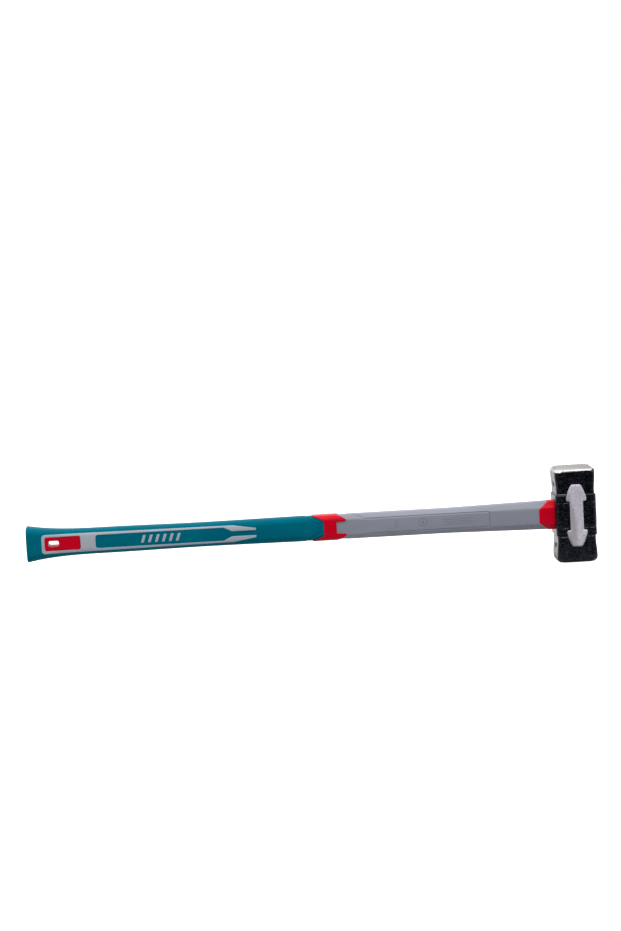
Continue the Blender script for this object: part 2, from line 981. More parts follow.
@dataclass(frozen=True)
class Ring:
    """How many cells go round a quarter of the handle on each stretch."""

    side: int
    corner: int
    top: int

    @property
    def quarter(self) -> int:
        """Cells in a quarter."""
        return self.side + self.corner + self.top

    @property
    def columns(self) -> int:
        """Cells in the whole ring."""
        return 4 * self.quarter

    def stretch(self, column: int) -> tuple[int, float, int, int]:
        """Stretch of a column, the place along it, and the signs of its Y and Z.

        Args:
            column: The column, counted round the handle.

        Returns:
            The stretch and the place along it as in Section.point, and the two signs.
        """
        quarter, k = divmod(column % self.columns, self.quarter)
        if quarter % 2:
            k = self.quarter - k
        y_side = 1 if quarter in (0, 3) else -1
        z_side = 1 if quarter in (0, 1) else -1
        if k < self.side:
            return 0, k / self.side, y_side, z_side
        if k < self.side + self.corner:
            return 1, (k - self.side) / self.corner, y_side, z_side
        return 2, (k - self.side - self.corner) / self.top, y_side, z_side

    def point(self, section: Section, column: int) -> tuple[float, float, float, float]:
        """Y and Z over the handle's axis of a column's point, and of the normal there.

        Args:
            section: The section there.
            column: The column, counted round the handle.

        Returns:
            Y and Z of the point, and of the normal.
        """
        u, v, y_side, z_side = self.stretch(column)
        y, z, ny, nz = section.point(u, v)
        return y * y_side, z * z_side, ny * y_side, nz * z_side

    def girth(self, section: Section, column: int) -> float:
        """Distance around the handle from the nearer side's middle to a column."""
        u, v, _, _ = self.stretch(column)
        return section.girth(u, v)


@dataclass(frozen=True)
class HandleShape:
    """The handle's outer sections along its length, with the CAD model's driving sizes."""

    butt_x: float
    grip_end_x: float
    collar_end_x: float
    mid_z: float
    waist_height: float = 38.5
    waist_depth: float = 30.5
    waist_at: float = 280.0
    palm_rise: float = 1.05
    swell_rise: float = 0.85
    flare_rise_height: float = 9.05
    flare_rise_depth: float = 5.5
    flare_len: float = 130.0
    flare_power: float = 3.1
    butt_round: float = 3.0
    grip_corner: float = 12.0
    shaft_height: float = 39.4
    shaft_depth: float = 31.4
    shaft_corner: float = 9.5
    shaft_facet: float = 0.87
    neck_rise: float = 3.0
    neck_taper_len: float = 170.0
    collar_proud: float = 0.5

    @classmethod
    def from_frame(cls) -> "HandleShape":
        """The shape at the places that the CAD nodes give.

        Returns:
            The shape.
        """
        grip_low, grip_high = node_box("grip")
        collar_high = node_box("neck_collar")[1]
        head_low, head_high = node_box("head")
        return cls(grip_low.x, grip_high.x, collar_high.x, (head_low.z + head_high.z) / 2)

    def grip_rise(self, s: float, flare_rise: float) -> float:
        """Growth of a side over the grip's waist, at a distance from the butt end.

        Args:
            s: Distance from the butt end.
            flare_rise: Growth at the very end.

        Returns:
            The growth.
        """
        if s < self.flare_len:
            share = (1 - s / self.flare_len) ** self.flare_power
            return self.palm_rise + (flare_rise - self.palm_rise) * share
        grip_len = self.grip_end_x - self.butt_x
        if s < self.waist_at:
            t = (s - self.flare_len) / (self.waist_at - self.flare_len)
            return self.palm_rise * (1 + math.cos(math.pi * t)) / 2
        t = min((s - self.waist_at) / (grip_len - self.waist_at), 1.0)
        return self.swell_rise * (1 - math.cos(math.pi * t)) / 2

    def grip(self, x: float) -> Section:
        """Section of the soft grip.

        Args:
            x: Place along the handle.

        Returns:
            The section.
        """
        s = max(x - self.butt_x, 0.0)
        inset = 0.0
        if s < self.butt_round:
            inset = corner_drop(self.butt_round, s)
        return Section(
            self.waist_height + 2 * self.grip_rise(s, self.flare_rise_height) - 2 * inset,
            self.waist_depth + 2 * self.grip_rise(s, self.flare_rise_depth) - 2 * inset,
            self.grip_corner - inset,
        )

    def shaft(self, x: float) -> Section:
        """Section of the hard shaft.

        Args:
            x: Place along the handle.

        Returns:
            The section.
        """
        rise = self.neck_rise * min(max(1 - (self.collar_end_x - x) / self.neck_taper_len, 0.0), 1.0)
        height, depth = self.shaft_height + 2 * rise, self.shaft_depth + 2 * rise
        return Section(height, depth, self.shaft_corner + rise, facet=self.shaft_facet)

    def on_side(self, section: Section, side: Side, x: float, up: float, lift: float) -> Vector:
        """A point on the front or back of the handle.

        Args:
            section: The section at x.
            side: Front or back.
            x: Place along the handle.
            up: Height over the handle's axis.
            lift: How far the point stands off the surface.

        Returns:
            The point.
        """
        return Vector((x, side.value * (section.half_depth(up) + lift), self.mid_z + up))


@dataclass(frozen=True)
class GripTrim:
    """Outlines of the frame, the panel and the insert in the grip, measured from the butt end."""

    frame_start: float = 24.0
    frame_half: float = 15.3
    frame_round: float = 5.0
    arrow_half: float = 13.4
    panel_half: float = 10.5
    panel_start: float = 110.0
    panel_round: float = 1.5
    arrow_start: float = 311.0
    arrow_len: float = 51.5
    arrow_straight: float = 15.0
    arrow_tip: float = 3.5
    channel_half: float = 4.0
    insert_start: float = 29.0
    insert_len: float = 56.2
    insert_half: float = 11.0
    insert_round: float = 3.0
    slot_at: float = 42.6
    slot_len: float = 17.0
    slot_half: float = 4.8
    slot_round: float = 3.0
    panel_sink: float = 0.6

    @property
    def arrow_tip_at(self) -> float:
        """Distance from the butt end to the arrow heads' tips."""
        return self.arrow_start + self.arrow_len

    @property
    def knee_at(self) -> float:
        """Distance from the butt end to the inner corner of the arrow heads."""
        return self.arrow_start + self.arrow_len / 4

    def outer(self, s: float) -> float:
        """Half height of the frame's outline.

        Args:
            s: Distance from the butt end.

        Returns:
            The half height.
        """
        rounding = 0.0
        run = s - self.frame_start
        if run < self.frame_round:
            rounding = corner_drop(self.frame_round, run)
        straight = polyline(
            [
                (self.frame_start, self.frame_half),
                (self.arrow_start, self.arrow_half),
                (self.arrow_start + self.arrow_straight, self.arrow_half),
                (self.arrow_tip_at, self.channel_half + self.arrow_tip),
            ],
            s,
        )
        return straight - rounding

    def inner(self, s: float) -> float:
        """Half height of the opening inside the frame.

        Args:
            s: Distance from the butt end.

        Returns:
            The half height.
        """
        insert_end = self.insert_start + self.insert_len
        if s <= self.panel_start - 1:
            run = min(abs(s - self.insert_start), abs(insert_end - s))
            if self.insert_start < s < insert_end and run < self.insert_round:
                return self.insert_half - corner_drop(self.insert_round, run)
            if s <= self.insert_start or s >= insert_end:
                return self.insert_half - self.insert_round
            return self.insert_half
        rounding = max(0.0, self.panel_round - (s - self.panel_start))
        return polyline(
            [
                (self.arrow_start, self.panel_half),
                (self.knee_at, self.channel_half),
                (self.arrow_tip_at, self.channel_half),
            ],
            s,
        ) - rounding

    def slot_edge(self, s: float) -> float:
        """Half height of the hang slot.

        Args:
            s: Distance from the butt end.

        Returns:
            The half height.
        """
        run = abs(s - self.slot_at) - (self.slot_len / 2 - self.slot_round)
        if run <= 0:
            return self.slot_half
        return self.slot_half - self.slot_round + math.sqrt(max(self.slot_round**2 - run**2, 0.0))


# ---- Soft grip ----


@dataclass
class Grip:
    """The soft teal grip, with its sunk panels and its bevelled end at the middle collar."""

    shape: HandleShape
    trim: GripTrim
    ring: Ring = Ring(side=12, corner=26, top=4)
    wall: float = 1.4
    end_points: Line = ((5.7, 7.0), (10.4, 16.0), (17.1, 24.6), (21.0, 26.4), (26.0, 27.5))
    end_slant: float = 0.75
    end_step: float = 0.45
    end_step_width: float = 1.6
    end_groove: float = 1.0
    groove_width: float = 0.85
    second_groove: float = 0.25
    second_groove_at: float = 4.2
    second_groove_width: float = 0.8
    end_bulge: float = 1.2
    panel_edge: float = 1.2
    panel_slope: float = 0.8
    panel_fade: float = 14.0

    def end_line(self, girth: float) -> float:
        """Distance short of the grip's end at which its stepped end starts."""
        return polyline(self.end_points, girth)

    def relief(self, x: float, up: float, girth: float, on_side: bool) -> float:
        """How far the surface lies over or under the plain section.

        Args:
            x: Place along the handle.
            up: Height over the handle's axis.
            girth: Distance around the grip from the middle of its side.
            on_side: Whether the point is on the front or the back.

        Returns:
            The height over the plain section.
        """
        s = x - self.shape.butt_x
        run = self.shape.grip_end_x - x
        past = self.end_line(girth) - run
        if self.end_points[0][0] < girth < self.end_points[3][0]:
            past *= self.end_slant
        lift = -self.end_step * smooth_step(past / self.end_step_width + 0.5)
        lift -= self.end_groove * math.exp(-((past / self.groove_width) ** 2))
        from_second = (past - self.second_groove_at) / self.second_groove_width
        lift -= self.second_groove * math.exp(-(from_second**2))
        if on_side and self.trim.panel_start < s < self.trim.arrow_tip_at + self.panel_fade:
            edge = self.trim.inner(s) + self.panel_edge
            fade = 1 - smooth_step((s - self.trim.arrow_tip_at) / self.panel_fade)
            inside = smooth_step((edge - abs(up)) / self.panel_slope + 0.5)
            lift -= self.trim.panel_sink * inside * fade
        return lift

    def place(self, stations: Line) -> Place:
        """Makes the function that lays the grid onto the grip's surface.

        Args:
            stations: (x, scale about the axis) of each row.

        Returns:
            The function that gives the places.
        """

        def at(column: int, row: int) -> Vector:
            """Place of one grid point.

            Args:
                column: Column of the grid point.
                row: Its row.

            Returns:
                The place of the grid point.
            """
            x, scale = stations[row]
            y, z, ny, nz = self.ring.point(self.shape.grip(x), column)
            lift = self.relief(x, z, self.ring.girth(self.shape.grip(x), column), abs(ny) > 0.3)
            bulge = self.end_bulge * (1 - scale**2)
            across, up = (y + ny * lift) * scale, (z + nz * lift) * scale
            return Vector((x - bulge, across, self.shape.mid_z + up))

        return at

    def build(self, material: Material) -> None:
        """Builds the grip.

        Args:
            material: Its finish.
        """
        start, trim = self.shape.butt_x, self.trim
        window = (trim.insert_start - 2.2, trim.insert_start + trim.insert_len + 2.2)
        runs = graded(
            [
                (start + 1, 0.25),
                (start + self.shape.butt_round, 0.5),
                (start + window[0], 2.4),
                (start + window[1], 3.0),
                (start + trim.panel_start - 3, 3.5),
                (start + trim.panel_start + 3, 1.0),
                (start + trim.arrow_start - 2, 4.5),
                (start + trim.arrow_tip_at + 16, 1.6),
                (self.shape.grip_end_x - 32, 4.5),
                (self.shape.grip_end_x - 2, 0.55),
                (self.shape.grip_end_x, 1.0),
            ],
            start,
        )
        stations = [(start, k / 8) for k in range(8)] + [(x, 1.0) for x in runs]
        half = trim.insert_half + 2.0

        def keep(column: int, row: int) -> bool:
            """Leaves out the window that the hang insert fills on both sides.

            Args:
                column: Column of the cell.
                row: Its row.

            Returns:
                Whether the cell is part of the piece.
            """
            x = (stations[row][0] + stations[row + 1][0]) / 2
            y, z, ny, _ = self.ring.point(self.shape.grip(x), column)
            inside = window[0] < x - start < window[1] and abs(z) < half and abs(ny) > 0.3
            return not inside

        bm = wrapped_grid(self.ring.columns, len(stations) - 1, self.place(stations), keep)
        shell(bm, self.wall)
        finish_piece(bm, "grip_skin", material, Slot.TEAL, ["grip"])


# ---- Hard jacket: shaft, frames and bars ----


@dataclass
class Jacket:
    """The grey jacket: the bare shaft, and the frames and bars that come up through the grip."""

    shape: HandleShape
    trim: GripTrim
    ring: Ring = Ring(side=12, corner=28, top=4)
    wall: float = 1.4
    groove_depth: float = 1.1
    groove_width: float = 0.8
    dip: float = 0.6
    dip_end_x: float = -372.0
    dip_fade: float = 14.0
    groove_up: float = 12.0
    groove_end_x: float = -136.4
    groove_cut: float = 1.6
    chevron_from_collar: float = 46.5
    chevron: Line = ((0.0, 18.8), (10.0, 16.4))
    chevron_len: float = 18.0
    rib_start_x: float = -131.0
    rib_end_x: float = -74.0
    rib_pitch: float = 3.8
    rib_depth: float = 0.1
    frame_lift: float = 0.2
    frame_depth: float = 2.5
    rim: float = 0.45
    bar_count: int = 6
    bar_start: float = 180.0
    bar_pitch: float = 11.0
    bar_width: float = 4.5
    bar_half: float = 6.0
    bar_lean: float = 4.0
    bar_lift: float = 0.35

    def groove(self) -> Line:
        """The groove around the shaft's long panel, as (x, height) points.

        Returns:
            The points.
        """
        start = self.shape.grip_end_x + self.chevron_from_collar
        x, up = self.groove_end_x, self.groove_up
        upper = [(start + run, height) for run, height in self.chevron]
        upper += [
            (start + self.chevron_len, up),
            (x - self.groove_cut, up),
            (x, up - self.groove_cut),
        ]
        return upper + [(px, -pz) for px, pz in reversed(upper)]

    def relief(self, x: float, up: float, on_side: bool) -> float:
        """How far the shaft lies over or under the plain section.

        Args:
            x: Place along the handle.
            up: Height over the handle's axis.
            on_side: Whether the point is on the front or the back.

        Returns:
            The height over the plain section.
        """
        lift = -self.dip * (1 - smooth_step((x - self.dip_end_x) / self.dip_fade))
        if self.rib_start_x < x < self.rib_end_x:
            wave = math.cos(2 * math.pi * (x - self.rib_start_x) / self.rib_pitch)
            lift += self.rib_depth * (1 - wave) / 2
        if on_side:
            away = distance_to_chain(self.groove(), x, up)
            lift -= self.groove_depth * math.exp(-((away / self.groove_width) ** 2))
        return lift

    def build_shaft(self, material: Material) -> None:
        """Builds the bare shaft, which ends under the two collars.

        Args:
            material: Its finish.
        """
        collar = self.shape.grip_end_x
        stations = graded(
            [
                (collar + self.chevron_from_collar - 3, 4.0),
                (collar + self.chevron_from_collar + 21, 0.8),
                (self.groove_end_x - 3, 4.5),
                (self.groove_end_x + 3, 0.5),
                (self.rib_end_x + 1, 0.7),
                (self.shape.collar_end_x, 4.0),
            ],
            collar + 2,
        )

        def place(column: int, row: int) -> Vector:
            """Lays the grid around the shaft.

            Args:
                column: Column of the grid point.
                row: Its row.

            Returns:
                The place of the grid point.
            """
            x = stations[row]
            y, z, ny, nz = self.ring.point(self.shape.shaft(x), column)
            lift = self.relief(x, z, abs(ny) > 0.2)
            return Vector((x, y + ny * lift, self.shape.mid_z + z + nz * lift))

        bm = wrapped_grid(self.ring.columns, len(stations) - 1, place)
        shell(bm, self.wall)
        finish_piece(bm, "shaft_skin", material, Slot.GREY, ["handle_jacket"])

    def build_frame(self, side: Side, material: Material) -> None:
        """Builds the frame around the insert and the panel on one side.

        Args:
            side: Front or back.
            material: Its finish.
        """
        trim, start = self.trim, self.shape.butt_x
        insert_end = trim.insert_start + trim.insert_len
        runs = graded(
            [
                (trim.frame_start + trim.frame_round, 0.6),
                (trim.insert_start, 1.0),
                (trim.insert_start + trim.insert_round, 0.6),
                (insert_end - trim.insert_round, 4.0),
                (insert_end, 0.6),
                (trim.panel_start - 1, 4.0),
                (trim.panel_start + 2, 0.5),
                (trim.arrow_start, 4.5),
                (trim.knee_at, 2.2),
                (trim.arrow_tip_at, 2.5),
            ],
            trim.frame_start,
        )
        lines = 3

        def place(column: int, row: int) -> Vector:
            """Lays the grid over the lower rail, the opening and the upper rail.

            Args:
                column: Column of the grid point.
                row: Its row.

            Returns:
                The place of the grid point.
            """
            s = runs[row]
            inner, outer = trim.inner(s), trim.outer(s)
            if column <= lines:
                up = -outer + (outer - inner) * column / lines
            elif column <= 2 * lines:
                up = -inner + 2 * inner * (column - lines) / lines
            else:
                up = inner + (outer - inner) * (column - 2 * lines) / lines
            section = self.shape.grip(start + s)
            return self.shape.on_side(section, side, start + s, up, self.frame_lift)

        def keep(column: int, row: int) -> bool:
            """Keeps the rails, and the bridges before and after the insert.

            Args:
                column: Column of the cell.
                row: Its row.

            Returns:
                Whether the cell is part of the piece.
            """
            if not lines <= column < 2 * lines:
                return True
            s = (runs[row] + runs[row + 1]) / 2
            return s < trim.insert_start or insert_end < s < trim.panel_start - 1

        bm = wrapped_grid(3 * lines, len(runs) - 1, place, keep)
        self.thicken(bm, side)
        finish_piece(bm, f"grip_frame_{side.name.lower()}", material, Slot.GREY, ["handle_jacket"])

    def thicken(self, bm: BMesh, side: Side) -> None:
        """Closes a wrapped sheet towards the handle's middle and rounds its outer rim.

        Args:
            bm: The sheet.
            side: Front or back.
        """
        inwards = Vector((0, -side.value * self.frame_depth, 0))
        wall(bm, lambda co: co + inwards)
        bmesh.ops.recalc_face_normals(bm, faces=bm.faces)
        bm.normal_update()
        rim = []
        for edge in bm.edges:
            if not is_sharp(edge):
                continue
            outer = [face for face in edge.link_faces if face.normal.y * side.value > 0.6]
            if len(outer) == 1:
                rim.append(edge)
        bevel_edges(bm, rim, self.rim)

    def build_bars(self, side: Side, material: Material) -> None:
        """Builds the slanted bars in the sunk panel on one side.

        Args:
            side: Front or back.
            material: Its finish.
        """
        across, along = 3, 6
        for index in range(self.bar_count):
            foot = self.bar_start + index * self.bar_pitch

            def place(column: int, row: int, foot: float = foot) -> Vector:
                """Lays the grid along one bar.

                Args:
                    column: Column of the grid point.
                    row: Its row.
                    foot: Distance from the butt end to the bar's lower corner.

                Returns:
                    The place of the grid point.
                """
                up = self.bar_half * (2 * row / along - 1)
                lean = self.bar_lean * (up / self.bar_half + 1) / 2
                x = self.shape.butt_x + (foot + self.bar_width * column / across + lean)
                lift = self.bar_lift - self.trim.panel_sink
                return self.shape.on_side(self.shape.grip(x), side, x, up, lift)

            bm = wrapped_grid(across, along, place)
            self.thicken(bm, side)
            name = f"badge_bar_{side.name.lower()}_{index + 1}"
            finish_piece(bm, name, material, Slot.GREY, ["handle_jacket"])


# ---- Hang insert ----


@dataclass
class HangInsert:
    """The hard red insert at the butt end, with the slot that the hammer hangs by."""

    shape: HandleShape
    trim: GripTrim
    sink: float = 0.9
    rim: float = 0.3
    clearance: float = 0.3

    def build(self, material: Material) -> None:
        """Builds the insert from its front face, carried through to its back face.

        Args:
            material: Its finish.
        """
        trim, start = self.trim, self.shape.butt_x
        begin = trim.insert_start + self.clearance
        end = trim.insert_start + trim.insert_len - self.clearance
        slot_start = trim.slot_at - trim.slot_len / 2
        slot_end = trim.slot_at + trim.slot_len / 2
        runs = graded(
            [
                (begin + 3, 0.5),
                (slot_start, 1.0),
                (slot_start + 0.4, 0.4),
                (slot_start + 3, 0.65),
                (slot_end - 3, 1.5),
                (slot_end - 0.4, 0.65),
                (slot_end, 0.4),
                (end - 3, 3.0),
                (end, 0.5),
            ],
            begin,
        )
        lines = 4

        def edge(s: float) -> float:
            """Half height of the insert's outline."""
            run = min(s - begin, end - s, trim.insert_round)
            return trim.insert_half - self.clearance - corner_drop(trim.insert_round, run)

        def place(column: int, row: int) -> Vector:
            """Lays the grid below, across and above the slot.

            Args:
                column: Column of the grid point.
                row: Its row.

            Returns:
                The place of the grid point.
            """
            s = runs[row]
            outer, inner = edge(s), max(trim.slot_edge(s), trim.slot_half - trim.slot_round)
            if column <= lines:
                up = -outer + (outer - inner) * column / lines
            else:
                up = inner + (outer - inner) * (column - lines - 1) / lines
            x = start + s
            return self.shape.on_side(self.shape.grip(x), Side.FRONT, x, up, -self.sink)

        def keep(column: int, row: int) -> bool:
            """Leaves out the cells that the slot takes."""
            return column != lines or not slot_start < (runs[row] + runs[row + 1]) / 2 < slot_end

        bm = wrapped_grid(2 * lines + 1, len(runs) - 1, place, keep)
        wall(bm, lambda co: Vector((co.x, -co.y, co.z)))
        bmesh.ops.recalc_face_normals(bm, faces=bm.faces)
        limit = self.shape.waist_depth / 2 - 2
        bevel_rims(bm, self.rim, lambda middle: abs(middle.y) > limit)
        finish_piece(bm, "hang_insert_body", material, Slot.RED, ["hang_insert"])


# ---- Collars ----


@dataclass
class Collars:
    """The two hard red collars, made as bands whose ends step around the handle."""

    shape: HandleShape
    ring: Ring = Ring(side=16, corner=28, top=4)
    wall: float = 1.6
    rim: float = 0.4
    band: float = 20.0
    prong: float = 15.0
    prong_in: float = 9.3
    prong_out: float = 13.4
    tongue_half: float = 11.2
    tongue_slope: float = 2.0
    reach: float = 18.0
    reach_girth: float = 23.0
    slope_girth: float = 24.5
    neck_tongue: float = 26.0
    neck_cutback: float = 14.0
    neck_tongue_half: float = 11.0
    neck_slope_end: float = 22.4
    head_overlap: float = 0.5

    def band_piece(
        self,
        name: str,
        material: Material,
        section: Callable[[float], Section],
        left: Callable[[float, float], float],
        right: Callable[[float, float], float],
        slope: tuple[float, float],
        stands_for: str,
    ) -> None:
        """Builds one collar.

        Args:
            name: Name of the piece.
            material: Its finish.
            section: Gives the outer section at a place along the handle.
            left: Gives the butt-side end, from the distance around the collar from the middle of its
                side, and from the height over the axis.
            right: Gives the head-side end in the same way.
            slope: Width and depth of the slope along the butt-side end.
            stands_for: The CAD node that the collar stands for.
        """
        middle = section((left(0, 0) + right(0, 0)) / 2)
        width, depth = slope
        near, far = 5, 9

        def place(column: int, row: int) -> Vector:
            """Lays the grid around the collar, with its slope first.

            Args:
                column: Column of the grid point.
                row: Its row.

            Returns:
                The place of the grid point.
            """
            girth, up = self.ring.girth(middle, column), abs(self.ring.point(middle, column)[1])
            start, end = left(girth, up), right(girth, up)
            if row <= near:
                x = start + width * row / near
            else:
                x = start + width + (end - start - width) * (row - near) / far
            y, z, ny, nz = self.ring.point(section(x), column)
            lift = -depth * (1 - smooth_step((x - start) / width * 0.5 + 0.5)) * 2
            return Vector((x, y + ny * lift, self.shape.mid_z + z + nz * lift))

        bm = wrapped_grid(self.ring.columns, near + far, place)
        shell(bm, self.wall)
        bmesh.ops.recalc_face_normals(bm, faces=bm.faces)

        def outside(co: Vector) -> bool:
            """Whether a place is on the collar's outer side.

            Args:
                co: Middle of an edge.

            Returns:
                Whether it is on the collar's outer side.
            """
            here = section(co.x)
            up = co.z - self.shape.mid_z
            shy = 0.7 + depth
            return abs(up) > here.height / 2 - shy or abs(co.y) > here.half_depth(up) - shy

        bevel_rims(bm, self.rim, outside)
        finish_piece(bm, name, material, Slot.RED, [stands_for])

    def build_mid(self, material: Material) -> None:
        """Builds the collar between the grip and the shaft.

        Args:
            material: Its finish.
        """
        back = self.shape.grip_end_x
        low, high = node_box("mid_collar")
        corner = self.shape.shaft_corner + self.shape.collar_proud
        section = Section(high.z - low.z, high.y - low.y, corner)
        left_line = [
            (self.tongue_half, 0.0),
            (self.tongue_half + 1.8, self.tongue_slope + 0.8),
            (self.reach_girth, self.reach),
        ]
        right_line = [
            (self.prong_in, 0.0),
            (self.prong_in + 0.5, self.prong),
            (self.prong_out, self.prong),
            (self.slope_girth, 0.5),
        ]

        def left(girth: float, up: float) -> float:
            """The end that steps into the grip."""
            return back - polyline(left_line, girth)

        def right(girth: float, up: float) -> float:
            """The end with the prongs."""
            return back + self.band + polyline(right_line, girth)

        slope = (1.0, 0.3)
        self.band_piece("mid_collar_band", material, lambda x: section, left, right, slope, "mid_collar")

    def build_neck(self, material: Material) -> None:
        """Builds the collar at the head.

        Args:
            material: Its finish.
        """
        end = self.shape.collar_end_x
        line = [(self.neck_tongue_half, 0.0), (self.neck_slope_end, self.neck_cutback)]

        def section(x: float) -> Section:
            """The shaft, and a little more."""
            return self.shape.shaft(x).grown(self.shape.collar_proud)

        def left(girth: float, up: float) -> float:
            """The end with the tongue."""
            return end - self.neck_tongue + polyline(line, up)

        def right(girth: float, up: float) -> float:
            """The end inside the head."""
            return end + self.head_overlap

        slope = (2.4, 0.8)
        self.band_piece("neck_collar_band", material, section, left, right, slope, "neck_collar")


# ---- Head ----


@dataclass
class Head:
    """The forged head: eight-sided, with a proud band around the eye."""

    mid_z: float
    length: float
    half: float = 30.5
    band_rise: float = 2.0
    band_half_len: float = 31.5
    band_slope: float = 2.4
    flare: float = 1.6
    flare_at: float = 38.0
    flare_len: float = 28.0
    ridge: float = 0.35
    ridge_half_len: float = 19.0
    chamfer: float = 3.8
    bevel: float = 4.0
    corner_cut: float = 3.5
    crown: float = 0.6
    lump: float = 0.3
    lump_size: float = 13.0
    fine_lump_size: float = 5.0
    ripple: float = 0.22
    ripple_width: float = 28.0
    ripple_height: float = 4.5
    dent: float = 3.2
    dent_up: float = 49.0
    dent_height: float = 3.2
    dent_width: float = 9.0
    edge_power: float = 46.0
    columns: int = 208
    eye_height: float = 35.0
    eye_depth: float = 27.0

    def band(self, z: float) -> float:
        """How far the band, and the flare towards the ends, stand out at this height.

        Args:
            z: Height.

        Returns:
            The distance.
        """
        away = abs(z - self.mid_z)
        band = self.band_rise * (1 - smooth_step((away - self.band_half_len) / self.band_slope))
        return band + self.flare * smooth_step((away - self.flare_at) / self.flare_len)

    def cheek_ridge(self, z: float) -> float:
        """How far the middle of a cheek stands over the rest of the band."""
        past = abs(z - self.mid_z) - self.ridge_half_len
        return self.ridge * (1 - smooth_step(past / 1.6))

    def flat(self, z: float) -> float:
        """Distance from the axis to the four wide faces."""
        end = min(z, self.length - z)
        return self.half + self.band(z) - soft_ramp(self.bevel - end, 0.5)

    def corner(self, z: float) -> float:
        """Distance from the axis to the four corner faces.

        Args:
            z: Height.

        Returns:
            The distance.
        """
        end = min(z, self.length - z)
        distance = (2 * self.half - self.chamfer) / math.sqrt(2)
        return distance + self.band(z) - soft_ramp(self.bevel + self.corner_cut - end, 2.0)

    def radius(self, turn: float, z: float) -> float:
        """Distance from the axis to the surface in one direction.

        Args:
            turn: The direction, as an angle about Z.
            z: Height.

        Returns:
            The distance.
        """
        total = 0.0
        for face in range(8):
            facing = math.cos(turn - face * math.pi / 4)
            if facing > 0:
                distance = self.corner(z) if face % 2 else self.flat(z)
                if face in (2, 6):
                    distance += self.cheek_ridge(z)
                total += (facing / distance) ** self.edge_power
        return total ** (-1 / self.edge_power)

    def lumps(self, co: Vector) -> float:
        """Unevenness of the forging, fading out at the ground ends.

        Args:
            co: The place on the smooth surface.

        Returns:
            How far the surface stands off it.
        """
        end = min(co.z, self.length - co.z)
        fade = smooth_step((end - 3) / 8)
        wide, high = self.ripple_width, self.ripple_height
        ripples = noise.noise(Vector((co.x / wide, co.y / wide, co.z / high)))
        lumps = noise.noise(co / self.lump_size) + 0.5 * noise.noise(co / self.fine_lump_size)
        up = abs(abs(co.z - self.mid_z) - self.dent_up)
        from_dent = (up / self.dent_height) ** 2 + (co.y / self.dent_width) ** 2
        dent = self.dent * math.exp(-from_dent) if abs(co.x) > abs(co.y) else 0.0
        return fade * (self.lump * lumps + self.ripple * ripples) - dent

    def build(self, material: Material) -> None:
        """Builds the head and cuts its eye.

        Args:
            material: Its finish.
        """
        band_start, band_end = self.mid_z - self.band_half_len, self.mid_z + self.band_half_len
        levels = graded(
            [
                (1.0, 0.5),
                (8, 0.7),
                (band_start - 6, 1.4),
                (band_start + 2, 0.6),
                (band_end - 2, 1.4),
                (band_end + 6, 0.6),
                (self.length - 8, 1.4),
                (self.length - 1.0, 0.7),
                (self.length, 0.5),
            ],
            0.0,
        )
        caps = 9
        rows = [(0.0, k / caps) for k in range(caps)] + [(z, 1.0) for z in levels]
        rows += [(self.length, k / caps) for k in reversed(range(caps))]

        def place(column: int, row: int) -> Vector:
            """Lays the grid over the lower face, up the sides and over the upper face.

            Args:
                column: Column of the grid point.
                row: Its row.

            Returns:
                The place of the grid point.
            """
            z, scale = rows[row]
            turn = 2 * math.pi * column / self.columns
            radius = self.radius(turn, z) * scale
            co = Vector((radius * math.cos(turn), radius * math.sin(turn), z))
            if scale == 1.0:
                out = Vector((math.cos(turn), math.sin(turn), 0))
                co += out * self.lumps(co)
            fade = 1 - smooth_step(abs(min(z, self.length - z)) / 4)
            inward = self.crown * min((radius / self.half) ** 2, 1.0) * fade
            co.z += inward if z < self.mid_z else -inward
            return co

        bm = wrapped_grid(self.columns, len(rows) - 1, place)
        head = finish_piece(bm, "head_forging", material, Slot.STEEL, ["head"])
        self.cut_eye(head)

    def cut_eye(self, head: bpy.types.Object) -> None:
        """Cuts the oval eye through the head, with a flared mouth on each side.

        Args:
            head: The finished head.
        """
        reach = self.half + self.band_rise + 2
        stations = [(-reach, 1.5), (-reach + 6, 0.0), (reach - 6, 0.0), (reach, 1.5)]
        corner = self.eye_depth / 2 - 0.01
        ring = Ring(side=4, corner=14, top=1)
        rows = [(stations[0], 0.0)] + [(s, 1.0) for s in stations] + [(stations[-1], 0.0)]

        def place(column: int, row: int) -> Vector:
            """Lays the grid around the eye, with a closed disc at each end.

            Args:
                column: Column of the grid point.
                row: Its row.

            Returns:
                The place of the grid point.
            """
            (x, grow), scale = rows[row]
            section = Section(self.eye_height + 2 * grow, self.eye_depth + 2 * grow, corner + grow, 0.0)
            y, z, _, _ = ring.point(section, column)
            return Vector((x, y * scale, self.mid_z + z * scale)) * MM

        bm = wrapped_grid(ring.columns, len(rows) - 1, place)
        bmesh.ops.recalc_face_normals(bm, faces=bm.faces)
        mesh = bpy.data.meshes.new("eye_cutter")
        bm.to_mesh(mesh)
        bm.free()
        cutter = bpy.data.objects.new("eye_cutter", mesh)
        bpy.context.scene.collection.objects.link(cutter)
        cut = head.modifiers.new("eye", "BOOLEAN")
        cut.operation, cut.solver, cut.object = "DIFFERENCE", "EXACT", cutter
        bpy.context.view_layer.update()
        made = bpy.data.meshes.new_from_object(head.evaluated_get(bpy.context.evaluated_depsgraph_get()))
        head.modifiers.clear()
        head.data = made
        bpy.data.objects.remove(cutter)
        LOG.info("%s: eye cut, %d faces", head.name, len(made.polygons))


# ---- Cheek plates ----


